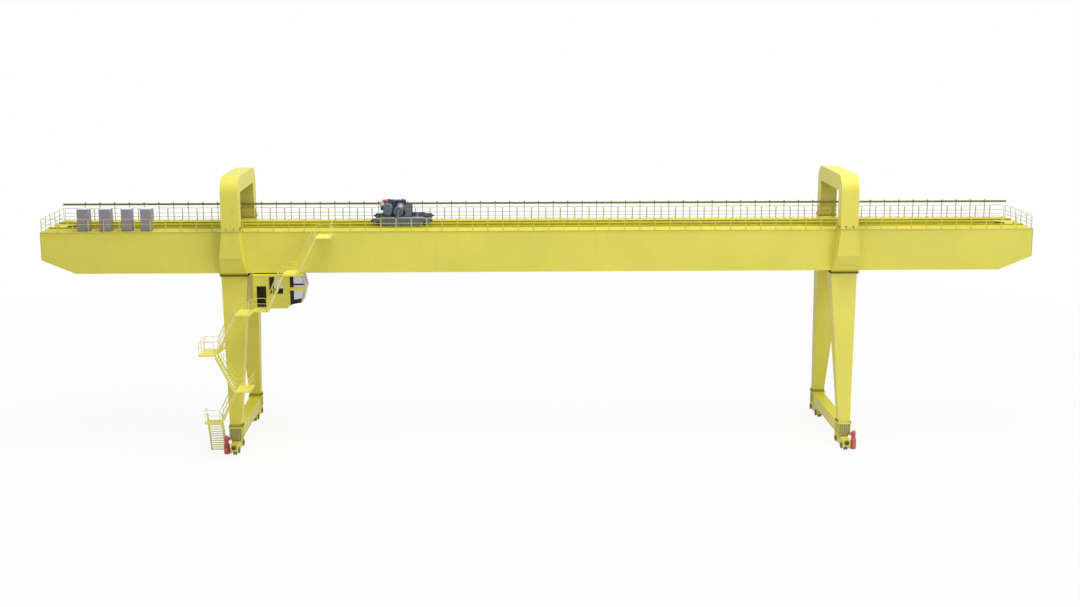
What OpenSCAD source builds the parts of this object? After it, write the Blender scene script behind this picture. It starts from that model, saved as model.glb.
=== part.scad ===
// Double-girder gantry crane with cab and stairs, a 1:10 scale model.
// Millimetres, +Z up. X runs along the girders, the stairs are on the -Y side.
// Origin: on the ground, in the middle of the outline box.

/* [Girders] */
// Length of each main girder
girder_length = 8102; // [8090:2:8120]
// Height of each main girder
girder_depth = 340; // [336:1:342]
// Height of a girder at its ends
girder_end_depth = 228; // [200:4:260]
// Height of the girder top above the rails
deck = 1800; // [1800:1:1800]

/* [Portal frames] */
// Distance between the two portal frames
leg_spacing = 5008; // [5000:2:5016]
// Height of an arch above the girder top
arch_height = 450; // [440:2:470]
// Radius of the arch's outer corners
arch_corner = 130; // [110:5:150]

/* [Trolley] */
// Distance between the two trolley rails
trolley_gauge = 300; // [296:2:304]
// Height of a trolley rail
rail_height = 13; // [12:0.5:13]
// Position of the trolley's centre along the girders
trolley_x = -1145; // [-1300:5:-900]
// Radius of a trolley wheel
trolley_wheel_r = 25; // [24:1:26]

/* [Running gear] */
// Radius of a travel wheel
wheel_r = 40; // [38:1:40]
// Distance between the two wheels of a bogie
wheel_base = 216; // [212:2:218]

/* [Stairs and guards] */
// Height of a guard rail over its floor
guard_height = 107; // [100:1:110]
// Number of bays of the long guards
guard_bays = 65; // [60:1:70]
// Thickness of a stair's side plate
stringer_t = 3; // [2:0.5:4]
// Thickness of a stair tread
tread_t = 3; // [2:0.5:4]
// Thickness of a stair landing
landing_t = 10; // [8:1:12]

/* [Output] */
// Node to build

/* [Hidden] */
$fn = 64;
half = girder_length / 2;
leg_x = leg_spacing / 2;
plan_shift = 70;
in_y = 88;
out_y = 356;
girder_bottom = deck - girder_depth;
leg_top = girder_bottom - 26;
arch_foot = deck + 20;
leg_foot = 214;
beam_bottom = 110;
beam_top = 204;
foot_y = 509.5;
bogie_top = 98;
bogie_low = 28;
buffer_z = 74;
hub_r = 26;
rail_y = trolley_gauge / 2;
rail_top = deck + rail_height;
wheel_z = rail_top + 0.3 + trolley_wheel_r;
frame_low = deck + 19;
frame_top = deck + 83;
drum_z = deck + 131;
axle_dx = 191;
yellow = [0.86, 0.83, 0.34];
pale = [0.93, 0.90, 0.52];
slate = [0.30, 0.35, 0.42];
dark = [0.12, 0.12, 0.13];
red = [0.78, 0.26, 0.28];
grey = [0.52, 0.52, 0.55];
olive = [0.30, 0.29, 0.16];

// Every node is drawn about the portal centre line and then set in the frame.
module place() {
  translate([0, plan_shift, 0])
    children();
}

// A corner of the crane: sx is -1 on the left, sy is -1 in front.
module corner(sx, sy) {
  mirror([sx < 0 ? 1 : 0, 0, 0])
    mirror([0, sy < 0 ? 1 : 0, 0])
      children();
}

// A box from one corner to the other.
module box(lo, hi) {
  translate(lo)
    cube(hi - lo);
}

// A profile drawn in X and Z, from y0 to y1.
module along_y(y0, y1, pts) {
  translate([0, y1, 0])
    rotate([90, 0, 0])
      linear_extrude(y1 - y0)
        polygon(pts);
}

// A profile drawn in Y and Z, from x0 to x1.
module along_x(x0, x1, pts) {
  translate([x0, 0, 0])
    rotate([90, 0, 90])
      linear_extrude(x1 - x0)
        polygon(pts);
}

// A round bar along Y.
module rod_y(x, z, r, y0, y1) {
  translate([x, y1, z])
    rotate([90, 0, 0])
      cylinder(r = r, h = y1 - y0);
}

// A round bar along X.
module rod_x(y, z, r, x0, x1) {
  translate([x0, y, z])
    rotate([0, 90, 0])
      cylinder(r = r, h = x1 - x0);
}

// Girders, ties and rails

module girder() {
  along_y(in_y, out_y, [
    [-half, deck - girder_end_depth], [270 - half, girder_bottom],
    [half - 270, girder_bottom], [half, deck - girder_end_depth],
    [half, deck], [-half, deck]
  ]);
}

module front_girder() {
  color(yellow)
    place()
      corner(1, -1)
        girder();
}

module rear_girder() {
  color(yellow)
    place()
      girder();
}

module end_tie() {
  translate([0, 0, deck - 180])
    linear_extrude(180)
      polygon([
        [half, -in_y], [half, in_y], [half - 176, in_y],
        [half - 121, 36], [half - 121, -36], [half - 176, -in_y]
      ]);
}

module end_ties() {
  color(yellow)
    place() {
      end_tie();
      corner(-1, 1)
        end_tie();
    }
}

module trolley_rails() {
  color(olive)
    place()
      for (y = [-rail_y, rail_y])
        box([12 - half, y - 5, deck], [half - 12, y + 5, rail_top]);
}

module trolley_end_stops() {
  color(yellow)
    place()
      for (x = [76 - half, half - 96])
        for (y = [-rail_y, rail_y])
          box([x, y - 12, rail_top], [x + 20, y + 12, deck + 30]);
}

// Portal frames

module arch() {
  top = deck + arch_height;
  cy = 462 - arch_corner;
  cz = top - arch_corner;
  difference() {
    union() {
      along_x(leg_x - 71, leg_x + 71, [[-471, arch_foot], [471, arch_foot], [462, cz], [-462, cz]]);
      box([leg_x - 71, -cy, cz - 1], [leg_x + 71, cy, top]);
      rod_x(cy, cz, arch_corner, leg_x - 71, leg_x + 71);
      rod_x(-cy, cz, arch_corner, leg_x - 71, leg_x + 71);
      box([leg_x - 79, -486, arch_foot], [leg_x + 79, 486, arch_foot + 6]);
    }
    along_x(leg_x - 100, leg_x + 100, [
      [-352, deck - 5], [352, deck - 5], [338, deck + 322], [-338, deck + 322]
    ]);
  }
}

module left_arch() {
  color(yellow)
    place()
      corner(-1, 1)
        arch();
}

module right_arch() {
  color(yellow)
    place()
      arch();
}

module saddle() {
  intersection() {
    along_x(leg_x - 120, leg_x + 120, [
      [out_y, girder_bottom], [out_y, deck], [352, deck], [352, arch_foot],
      [480, arch_foot], [480, deck - 200], [377, girder_bottom]
    ]);
    along_y(300, 500, [
      [leg_x - 71, arch_foot], [leg_x + 71, arch_foot], [leg_x + 71, deck],
      [leg_x + 106, girder_bottom], [leg_x - 106, girder_bottom], [leg_x - 71, deck]
    ]);
  }
}

module saddle_pair() {
  place() {
    saddle();
    corner(1, -1)
      saddle();
  }
}

module left_saddles() {
  color(yellow)
    corner(-1, 1)
      saddle_pair();
}

module right_saddles() {
  color(yellow)
    saddle_pair();
}

module leg_shaft() {
  intersection() {
    along_x(leg_x - 120, leg_x + 120, [
      [165, leg_top], [342, leg_top], [548, leg_foot], [471, leg_foot]
    ]);
    along_y(150, 600, [
      [leg_x - 106, leg_top], [leg_x + 106, leg_top],
      [leg_x + 48, leg_foot], [leg_x - 48, leg_foot]
    ]);
  }
}

module leg() {
  leg_shaft();
  box([leg_x - 114, 155, leg_top], [leg_x + 114, 366, girder_bottom]);
  box([leg_x - 58, foot_y - 55, beam_top], [leg_x + 58, foot_y + 55, leg_foot]);
}

module front_left_leg() {
  color(yellow)
    place()
      corner(-1, -1)
        leg();
}

module front_right_leg() {
  color(yellow)
    place()
      corner(1, -1)
        leg();
}

module rear_left_leg() {
  color(yellow)
    place()
      corner(-1, 1)
        leg();
}

module rear_right_leg() {
  color(yellow)
    place()
      leg();
}

module bottom_beam() {
  box([leg_x - 48.5, -559, beam_bottom], [leg_x + 48.5, 559, beam_top]);
  for (s = [-1, 1])
    for (i = [0:5])
      translate([leg_x - 43 + i * 17.2 - 1, s > 0 ? 558 : -565, beam_bottom])
        cube([2, 7, beam_top - beam_bottom]);
  for (s = [-1, 1])
    for (i = [0:4])
      translate([leg_x - 54, s * (462 + i * 23) - 1, beam_bottom])
        cube([108, 2, beam_top - beam_bottom]);
  for (s = [-1, 1])
    along_y(s * foot_y - 25, s * foot_y + 25, [
      [leg_x - 46, beam_bottom + 1], [leg_x - 37, 78], [leg_x - 31, 78], [leg_x - 31, bogie_top],
      [leg_x + 31, bogie_top], [leg_x + 31, 78], [leg_x + 37, 78], [leg_x + 46, beam_bottom + 1]
    ]);
}

module left_bottom_beam() {
  color(yellow)
    place()
      corner(-1, 1)
        bottom_beam();
}

module right_bottom_beam() {
  color(yellow)
    place()
      bottom_beam();
}

// Running gear

module bogie() {
  y0 = foot_y - 161;
  y1 = foot_y + 164;
  difference() {
    union() {
      box([leg_x - 30, y0, bogie_low], [leg_x - 24, y1, bogie_top]);
      box([leg_x + 24, y0, bogie_low], [leg_x + 30, y1, bogie_top]);
      box([leg_x - 30, y0, bogie_top - 6], [leg_x + 30, y1, bogie_top]);
      box([leg_x - 30, y0, bogie_low + 14], [leg_x + 30, y0 + 5, bogie_top]);
      box([leg_x - 30, y1 - 5, bogie_low + 14], [leg_x + 30, y1, bogie_top]);
      for (s = [-1, 1])
        rod_x(foot_y + s * wheel_base / 2, wheel_r, hub_r, leg_x - 37, leg_x - 29);
      for (s = [-1, 1])
        rod_x(foot_y + s * wheel_base / 2, wheel_r, hub_r, leg_x + 29, leg_x + 37);
      rod_y(leg_x, buffer_z, 17, y1 - 1, 690);
    }
    for (s = [-1, 1])
      rod_x(foot_y + s * wheel_base / 2, wheel_r, 8.3, leg_x - 35.5, leg_x + 35.5);
  }
}

module front_left_bogie() {
  color(yellow)
    place()
      corner(-1, -1)
        bogie();
}

module front_right_bogie() {
  color(yellow)
    place()
      corner(1, -1)
        bogie();
}

module rear_left_bogie() {
  color(yellow)
    place()
      corner(-1, 1)
        bogie();
}

module rear_right_bogie() {
  color(yellow)
    place()
      bogie();
}

// One travel wheel with its axle; side is 1 on the outer end of the bogie.
module travel_wheel(side) {
  y = foot_y + side * wheel_base / 2;
  rod_x(y, wheel_r, wheel_r - 5, leg_x - 8, leg_x + 8);
  rod_x(y, wheel_r, wheel_r, leg_x - 13, leg_x - 7);
  rod_x(y, wheel_r, wheel_r, leg_x + 7, leg_x + 13);
  rod_x(y, wheel_r, 14, leg_x - 19, leg_x + 19);
  rod_x(y, wheel_r, 8, leg_x - 34.5, leg_x + 34.5);
}

module front_left_wheel_a() {
  color(dark)
    place()
      corner(-1, -1)
        travel_wheel(1);
}

module front_left_wheel_b() {
  color(dark)
    place()
      corner(-1, -1)
        travel_wheel(-1);
}

module front_right_wheel_a() {
  color(dark)
    place()
      corner(1, -1)
        travel_wheel(1);
}

module front_right_wheel_b() {
  color(dark)
    place()
      corner(1, -1)
        travel_wheel(-1);
}

module rear_left_wheel_a() {
  color(dark)
    place()
      corner(-1, 1)
        travel_wheel(1);
}

module rear_left_wheel_b() {
  color(dark)
    place()
      corner(-1, 1)
        travel_wheel(-1);
}

module rear_right_wheel_a() {
  color(dark)
    place()
      travel_wheel(1);
}

module rear_right_wheel_b() {
  color(dark)
    place()
      travel_wheel(-1);
}

module travel_motor() {
  translate([leg_x + 66, foot_y + wheel_base / 2, 0])
    rotate_extrude()
      polygon([
        [0, 8], [20, 8], [25, 13], [25, 58], [22, 62], [22, 72],
        [25, 75], [25, 90], [18, 97], [17, 99], [17, 152], [12, 162], [0, 163]
      ]);
  box([leg_x + 37, foot_y + wheel_base / 2 - 12, 28],
      [leg_x + 50, foot_y + wheel_base / 2 + 12, 54]);
  box([leg_x + 42, foot_y + wheel_base / 2 - 10, 128],
      [leg_x + 56, foot_y + wheel_base / 2 + 10, 150]);
}

module motor_pair() {
  place() {
    travel_motor();
    corner(1, -1)
      travel_motor();
  }
}

module left_travel_motors() {
  color(red)
    corner(-1, 1)
      motor_pair();
}

module right_travel_motors() {
  color(red)
    motor_pair();
}

// Stairs: x is the way up, y goes across, z is measured from the lower floor.

module flight_side(run, rise, base) {
  m = rise / run;
  h = guard_height - 5;
  along_y(0, stringer_t, [
    [max(0, base / m), base], [(base + 32) / m, base], [run, rise - 32],
    [run, rise], [(rise - 8) / m, rise], [max(0, (base - 8) / m), max(base, 8)]
  ]);
  for (k = [h - 4.5, h / 2 - 4])
    along_y(0.2, stringer_t - 0.2, [
      [4, 4 * m + k - 4.5], [4, 4 * m + k + 4.5],
      [run - 4, rise - 4 * m + k + 4.5], [run - 4, rise - 4 * m + k - 4.5]
    ]);
  for (i = [0:3])
    let (s = 4 + i * (run - 12) / 3)
      along_y(0, stringer_t, [
        [s, s * m + 2], [s + 4, (s + 4) * m + 2],
        [s + 4, (s + 4) * m + h - 1], [s, s * m + h - 1]
      ]);
}

module flight_sides(run, rise, width, base) {
  flight_side(run, rise, base);
  translate([0, width - stringer_t, 0])
    flight_side(run, rise, base);
}

module flight_treads(run, rise, width, steps) {
  m = rise / run;
  for (i = [1:steps - 1])
    let (z = i * rise / steps)
      translate([(z - 6) / m, stringer_t, z - tread_t])
        cube([36 / m, width - 2 * stringer_t, tread_t]);
}

// Where each flight starts: position, direction turned about Z or mirrored.
module at_flight_1() {
  translate([-2718, -500, 0])
    rotate([0, 0, -90])
      children();
}

module at_flight_2() {
  translate([-2595, -725, 297])
    children();
}

module at_flight_3() {
  translate([-2450, -830, 585])
    mirror([1, 0, 0])
      children();
}

module at_flight_4() {
  translate([-2596, -725, 881])
    children();
}

module at_flight_5() {
  translate([-2214, -570, 1183])
    children();
}

module at_flight_6() {
  translate([-1964, -575, 1482])
    children();
}

module stair_flight_1() {
  color(pale)
    place()
      at_flight_1()
        flight_sides(120, 297, 120, 8);
}

module stair_flight_2() {
  color(pale)
    place()
      at_flight_2()
        flight_sides(145, 288, 104, -landing_t);
}

module stair_flight_3() {
  color(pale)
    place()
      at_flight_3()
        flight_sides(146, 296, 100, -landing_t);
}

module stair_flight_4() {
  color(pale)
    place()
      at_flight_4()
        flight_sides(146, 302, 104, -landing_t);
}

module stair_flight_5() {
  color(pale)
    place()
      at_flight_5()
        flight_sides(134, 299, 100, -landing_t);
}

module stair_flight_6() {
  color(pale)
    place()
      at_flight_6()
        flight_sides(153, 298, 100, -landing_t);
}

module stair_treads() {
  color(pale)
    place() {
      at_flight_1()
        flight_treads(120, 297, 120, 14);
      at_flight_2()
        flight_treads(145, 288, 104, 14);
      at_flight_3()
        flight_treads(146, 296, 100, 14);
      at_flight_4()
        flight_treads(146, 302, 104, 14);
      at_flight_5()
        flight_treads(134, 299, 100, 14);
      at_flight_6()
        flight_treads(153, 298, 100, 14);
    }
}

// A landing: floor from one corner to the other, top at z.
module landing(x0, y0, x1, y1, z) {
  box([x0, y0, z - landing_t], [x1, y1, z]);
}

// An arm under a landing, drawn in plan and cut to the leg's face.
module arm(z, pts) {
  difference() {
    translate([0, 0, z - landing_t - 14])
      linear_extrude(14)
        polygon(pts);
    corner(-1, -1)
      leg_shaft();
  }
}

module stair_landings() {
  color(pale)
    place() {
      landing(-2720, -725, -2595, -620, 297);
      landing(-2450, -830, -2329, -610, 585);
      arm(585, [[-2440, -800], [-2424, -800], [-2424, -600], [-2450, -450], [-2470, -450], [-2440, -600]]);
      landing(-2727, -830, -2596, -600, 881);
      arm(881, [
        [-2612, -640], [-2598, -640], [-2570, -430], [-2570, -340],
        [-2590, -340], [-2594, -430], [-2606, -600]
      ]);
      landing(-2450, -725, -2329, -485, 1183);
      arm(1183, [[-2440, -700], [-2424, -700], [-2424, -480], [-2440, -370], [-2460, -370], [-2440, -480]]);
      landing(-2328.9, -560, -2214, -410, 1183);
      landing(-2080, -575, -1964, -out_y, 1482);
      landing(-1811, -575, -1687, -out_y, 1780);
    }
}

// A guard panel along X with posts at equal bays and level rails.
module guard(length, bays, rails) {
  step = (length - 4) / bays;
  for (i = [0:bays])
    translate([i * step, -2, 0])
      cube([4, 4, guard_height - 1]);
  for (h = rails)
    translate([0, -1.7, h - 1.7])
      cube([length, 3.4, 3.4]);
}

module guard_at(x, y, z, turn, length, bays, rails) {
  translate([x, y, z])
    rotate([0, 0, turn])
      guard(length, bays, rails);
}

module landing_guards() {
  two = [guard_height - 1.7, 60];
  color(pale)
    place() {
      guard_at(-2718, -722.5, 297, 0, 120, 1, two);
      guard_at(-2717.5, -715, 297, 90, 92, 1, two);
      guard_at(-2448, -827.5, 585, 0, 117, 1, two);
      guard_at(-2331.5, -820, 585, 90, 205, 2, two);
      guard_at(-2725, -827.5, 881, 0, 126, 1, two);
      guard_at(-2724.5, -820, 881, 90, 212, 2, two);
      guard_at(-2720, -602.5, 881, 0, 120, 1, two);
      guard_at(-2448, -722.5, 1183, 0, 117, 1, two);
      guard_at(-2331.5, -715, 1183, 90, 150, 1, two);
      guard_at(-2328, -557.5, 1183, 0, 112, 1, two);
      guard_at(-2078, -572.5, 1482, 0, 112, 1, two);
      guard_at(-1809, -572.5, 1780, 0, 120, 1, two);
      guard_at(-1689.5, -565, 1780, 90, 190, 2, two);
    }
}

// Cab

module cab_outline(y0, y1) {
  along_y(y0, y1, [
    [-2343, 1175], [-2068, 1175], [-2052, 1203], [-1950, 1223],
    [-1916, 1350], [-1943, 1452], [-2052, 1447], [-2343, 1447]
  ]);
}

module cab_room() {
  along_y(-404, -226, [
    [-2337, 1181], [-2072, 1181], [-2056, 1209], [-1955, 1228],
    [-1922, 1350], [-1948, 1446], [-2052, 1441], [-2337, 1441]
  ]);
}

module nose_side_holes(y0, y1) {
  along_y(y0, y1, [[-2046, 1349], [-1926, 1349], [-1950, 1440], [-2046, 1436]]);
  along_y(y0, y1, [[-2046, 1215], [-1959, 1231], [-1934, 1324], [-2046, 1324]]);
}

module nose_front_holes() {
  for (y = [-401, -312])
    box([-1990, y, 1356], [-1900, y + 83, 1436]);
  for (y = [-401, -312])
    box([-1980, y, 1240], [-1900, y + 83, 1338]);
}

module cab_shell() {
  color(yellow)
    place() {
      difference() {
        cab_outline(-410, -220);
        cab_room();
        box([-2316, -420, 1186], [-2239, -400, 1360]);
        box([-2212, -420, 1297], [-2102, -400, 1436]);
        box([-2212, -230, 1297], [-2102, -210, 1436]);
        nose_side_holes(-420, -400);
        nose_side_holes(-230, -210);
        nose_front_holes();
      }
      for (x = [-2320, -2110])
        for (y = [-340, -240])
          box([x, y, 1446], [x + 16, y + 16, girder_bottom]);
    }
}

module cab_glazing() {
  color([0.75, 0.73, 0.77])
    place() {
      box([-2212, -408, 1297], [-2102, -406, 1436]);
      box([-2212, -224, 1297], [-2102, -222, 1436]);
      for (y = [-408, -224]) {
        along_y(y, y + 2, [[-2046, 1349], [-1926, 1349], [-1950, 1440], [-2046, 1436]]);
        along_y(y, y + 2, [[-2046, 1215], [-1959, 1231], [-1934, 1324], [-2046, 1324]]);
      }
      for (y = [-401, -312]) {
        along_y(y, y + 83, [[-1922, 1356], [-1920, 1356], [-1941, 1436], [-1943, 1436]]);
        along_y(y, y + 83, [[-1949.5, 1240], [-1947.5, 1240], [-1921.5, 1338], [-1923.5, 1338]]);
      }
    }
}

// Equipment on the girders

module cabinet(x0, x1) {
  box([x0 + 2, -323, deck], [x1 - 2, -242, deck + 8]);
  box([x0, -325, deck + 8], [x1, -240, deck + 182]);
  box([x0 - 2, -327, deck + 182], [x1 + 2, -238, deck + 186]);
}

module electrical_cabinets() {
  color(grey)
    place() {
      cabinet(-3757, -3662);
      cabinet(-3580, -3486);
      cabinet(-3402, -3319);
      cabinet(-3247, -3162);
    }
}

module front_guard() {
  two = [guard_height - 1.7, 62];
  step = (2 * half - 24) / guard_bays;
  gate = round((half - 12 - 1811) / step);
  color(pale)
    place() {
      guard_at(12 - half, -342, deck, 0, gate * step + 4, gate, two);
      guard_at(12 - half + (gate + 1) * step, -342, deck, 0,
               (guard_bays - gate - 1) * step, guard_bays - gate - 1, two);
    }
}

module rear_guard() {
  color(pale)
    place()
      guard_at(12 - half, 342, deck, 0, 2 * half - 24, guard_bays,
               [guard_height - 1.7, 62, 32]);
}

module end_guards() {
  three = [guard_height - 1.7, 62, 32];
  color(pale)
    place() {
      guard_at(half - 5, -336, deck, 90, 672, 5, three);
      guard_at(5 - half, -336, deck, 90, 672, 5, three);
    }
}

module cable_rail() {
  n = 32;
  step = (2 * half - 130) / n;
  color(olive)
    place() {
      box([3 - half, 331, deck + 125], [half - 3, 339, deck + 143]);
      for (i = [0:n])
        translate([65 - half + i * step - 2, 333, deck])
          cube([4, 4, 126]);
    }
}

// Trolley: drawn about its own centre, then set on the rails.
module on_trolley() {
  place()
    translate([trolley_x, 0, 0])
      children();
}

module trolley_side() {
  difference() {
    union() {
      box([-152, rail_y - 15, frame_low], [152, rail_y + 15, frame_top]);
      box([-175, rail_y - 15, frame_low + 13], [175, rail_y + 15, frame_top]);
      box([-235, rail_y - 15, frame_low + 13], [235, rail_y + 15, deck + 75]);
      rod_x(rail_y, deck + 58, 7, -250, -234);
      rod_x(rail_y, deck + 58, 7, 234, 250);
    }
    for (s = [-1, 1])
      box([s * axle_dx - 31, rail_y - 9, frame_low - 5],
          [s * axle_dx + 31, rail_y + 9, wheel_z + trolley_wheel_r + 4]);
    for (s = [-1, 1])
      rod_y(s * axle_dx, wheel_z, 7.3, rail_y - 20, rail_y + 12);
  }
}

module trolley_frame() {
  color(slate)
    on_trolley() {
      trolley_side();
      corner(1, -1)
        trolley_side();
      for (x = [-140, 110])
        box([x, 14 - rail_y, frame_low + 24], [x + 24, rail_y - 14, frame_top]);
    }
}

module wheelset() {
  for (s = [-1, 1])
    rod_y(0, wheel_z, trolley_wheel_r, s * rail_y - 4, s * rail_y + 4);
  rod_y(0, wheel_z, 7, 10 - rail_y - 20, rail_y + 10);
}

module trolley_wheelset_left() {
  color(dark)
    on_trolley()
      translate([-axle_dx, 0, 0])
        wheelset();
}

module trolley_wheelset_right() {
  color(dark)
    on_trolley()
      translate([axle_dx, 0, 0])
        wheelset();
}

module hoist_drum() {
  color([0.70, 0.70, 0.72])
    on_trolley() {
      rod_y(-28, drum_z, 33, -140, 110);
      rod_y(-28, drum_z, 40.5, -150, -139);
      rod_y(-28, drum_z, 42, 109, 116);
      rod_y(-28, drum_z, 10, -160, 120);
    }
}

module hoist_machinery() {
  color(slate)
    on_trolley() {
      box([-50, -168, frame_top], [-6, -160, drum_z]);
      for (z = [deck + 139, deck + 161])
        rod_y(-113, z, 37.5, -168, -132);
      box([-150.5, -168, deck + 139], [-75.5, -132, deck + 161]);
      box([-140, -160, frame_top], [-84, -136, deck + 150]);
      rod_y(-110, deck + 150, 30, -133, 45);
      box([-186, -20, deck + 124], [-136, 22, deck + 197]);
      box([-166, -16, deck + 176], [-112, 26, deck + 213]);
      box([-120, 44, frame_top], [-72, 130, deck + 197]);
      box([-74, 120, frame_top], [24, 142, deck + 193]);
    }
}

module trolley_control_box() {
  color(slate)
    on_trolley() {
      box([29, -150, frame_top], [77, -60, deck + 177]);
    }
}

module hook_block() {
  color(red)
    on_trolley() {
      box([-68, -30, deck - 120], [12, 30, deck - 55]);
      rod_y(-28, deck - 85, 27, -38, 38);
      translate([-28, 0, deck - 160])
        cylinder(r = 9, h = 45);
      difference() {
        rod_y(-28, deck - 185, 32, -9, 9);
        rod_y(-28, deck - 185, 15, -10, 10);
        box([-28, -10, deck - 184], [10, 10, deck - 140]);
      }
      for (x = [-54, -4])
        for (y = [-18, 18])
          translate([x, y, deck - 56])
            cylinder(r = 1.5, h = 162, $fn = 6);
    }
}

front_girder();
rear_girder();
end_ties();
trolley_rails();
trolley_end_stops();
left_arch();
right_arch();
left_saddles();
right_saddles();
front_left_leg();
front_right_leg();
rear_left_leg();
rear_right_leg();
left_bottom_beam();
right_bottom_beam();
front_left_bogie();
front_right_bogie();
rear_left_bogie();
rear_right_bogie();
front_left_wheel_a();
front_left_wheel_b();
front_right_wheel_a();
front_right_wheel_b();
rear_left_wheel_a();
rear_left_wheel_b();
rear_right_wheel_a();
rear_right_wheel_b();
left_travel_motors();
right_travel_motors();
stair_flight_1();
stair_flight_2();
stair_flight_3();
stair_flight_4();
stair_flight_5();
stair_flight_6();
stair_treads();
stair_landings();
landing_guards();
cab_shell();
cab_glazing();
electrical_cabinets();
front_guard();
rear_guard();
end_guards();
cable_rail();
trolley_frame();
trolley_wheelset_left();
trolley_wheelset_right();
hoist_drum();
hoist_machinery();
trolley_control_box();
hook_block();
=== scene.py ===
from itertools import product
from math import copysign, cos, radians, sin, tan, tau
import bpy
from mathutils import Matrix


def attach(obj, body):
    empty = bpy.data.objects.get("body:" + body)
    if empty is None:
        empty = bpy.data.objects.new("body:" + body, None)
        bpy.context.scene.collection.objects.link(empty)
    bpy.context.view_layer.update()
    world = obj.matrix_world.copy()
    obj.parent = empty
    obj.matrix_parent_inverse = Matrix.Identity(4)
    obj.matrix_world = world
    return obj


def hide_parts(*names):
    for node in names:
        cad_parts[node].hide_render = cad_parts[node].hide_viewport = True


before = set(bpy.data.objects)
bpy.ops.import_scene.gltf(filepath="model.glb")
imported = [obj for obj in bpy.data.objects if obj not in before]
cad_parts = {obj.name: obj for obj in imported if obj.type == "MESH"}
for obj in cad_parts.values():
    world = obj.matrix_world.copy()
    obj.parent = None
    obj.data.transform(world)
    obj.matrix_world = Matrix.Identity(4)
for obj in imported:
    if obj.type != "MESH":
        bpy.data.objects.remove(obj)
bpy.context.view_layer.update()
from types import SimpleNamespace
import bpy
from mathutils import Vector

CRANE = "crane_frame"
BOTH = (-1, 1)
X, Y, UP = (1, 0, 0), (0, 1, 0), Vector((0, 0, 1))
SMOOTH = radians(38)     # edges that turn more than this stay sharp
SHIFT = 0.07             # metres: the portal's centre line in the row frame, across the girders

# in the CAD's millimetres
HALF = 4051.0            # half the length of the girders
DECK = 1800.0            # top of the girders
ARCH_FOOT = DECK + 20.0  # underside of an arch's base flange
LEG = 2504.0             # centre of a leg frame, along the girders
LEG_HEAD = 1434.0        # underside of the leg's head plate
FOOT = 509.5             # centre of a leg's foot and its bogie, across the girders
FOOT_TOP = 214.0         # top of the leg's foot flange
WHEEL = 108.0            # wheels and travel motors, from the bogie's centre
TX = -1145.0             # the trolley's centre at rest, along the girders


# ---- materials

def feed(nt, node, inputs):
    """Gives sockets their values, or links them to other nodes' outputs."""
    for key, value in inputs.items():
        if isinstance(value, bpy.types.NodeSocket):
            nt.links.new(value, node.inputs[key])
        else:
            node.inputs[key].default_value = value


def add_node(nt, kind, inputs=None, **props):
    node = nt.nodes.new("ShaderNode" + kind)
    for key, value in props.items():
        setattr(node, key, value)
    feed(nt, node, inputs or {})
    return node


def new_mat(name):
    m = bpy.data.materials.new(name)
    m.use_nodes = True
    nt = m.node_tree
    return m, nt, nt.nodes["Principled BSDF"], add_node(nt, "TexCoord").outputs["Object"]


def ramp(nt, fac, *stops):
    """Two stops, each a position with a colour or a grey."""
    r = add_node(nt, "ValToRGB", {"Fac": fac})
    for element, (pos, c) in zip(r.color_ramp.elements, stops):
        element.position = pos
        element.color = (*c, 1) if isinstance(c, tuple) else (c, c, c, 1)
    return r.outputs["Color"]


def noise(nt, vec, scale, detail=4, rough=0.5, stretch=None):
    if stretch:
        vec = add_node(nt, "Mapping", {"Vector": vec, "Scale": stretch}).outputs["Vector"]
    inputs = {"Vector": vec, "Scale": scale, "Detail": detail, "Roughness": rough}
    return add_node(nt, "TexNoise", inputs).outputs["Fac"]


def mix(nt, fac, a, b):
    """Mixes a socket with a plain colour."""
    inputs = {"Factor": fac, "A": a, "B": (*b, 1)}
    return add_node(nt, "Mix", inputs, data_type="RGBA").outputs["Result"]


def scaled(col, k):
    return tuple(min(1.0, c * k) for c in col)


def bumps(nt, height, strength, distance):
    inputs = {"Height": height, "Strength": strength, "Distance": distance}
    return add_node(nt, "Bump", inputs).outputs["Normal"]


def paint(name, col, rough, dirt, var=0.07, spec=0.5, bump=0.05, grain=900, seams=None):
    """Industrial enamel: broad tone drift, rain streaks, fine orange peel, optional plate seams."""
    m, nt, shader, tc = new_mat(name)
    dirt, amount = (dirt, 0.25) if isinstance(dirt, tuple) else ((0.35, 0.32, 0.16), dirt)
    fine = noise(nt, tc, 38, 5, 0.6)
    streak = noise(nt, tc, 1.0, 5, 0.6, (26, 26, 1.6))
    base = ramp(nt, noise(nt, tc, 1.6, 3), (0.32, scaled(col, 1 - var)), (0.68, scaled(col, 1 + var)))
    base = mix(nt, ramp(nt, fine, (0.35, 0), (0.8, 0.35)), base, scaled(col, 0.9))
    base = mix(nt, ramp(nt, streak, (0.56, 0), (0.78, amount)), base, dirt)
    height = noise(nt, tc, grain, 2)
    if seams:
        wave = add_node(nt, "TexWave", {"Vector": tc, "Scale": seams},
                        wave_type="BANDS", bands_direction="X", wave_profile="SIN")
        line = ramp(nt, wave.outputs["Fac"], (0.9985, 0), (0.9998, 1))
        height = add_node(nt, "Math", {0: line, 1: 2.0, 2: height}, operation="MULTIPLY_ADD").outputs[0]
    feed(nt, shader, {
        "Base Color": base,
        "Roughness": ramp(nt, fine, (0.3, rough - 0.05), (0.75, rough + 0.1)),
        "Specular IOR Level": spec,
        "Normal": bumps(nt, height, bump, 0.002)})
    return m


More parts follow.
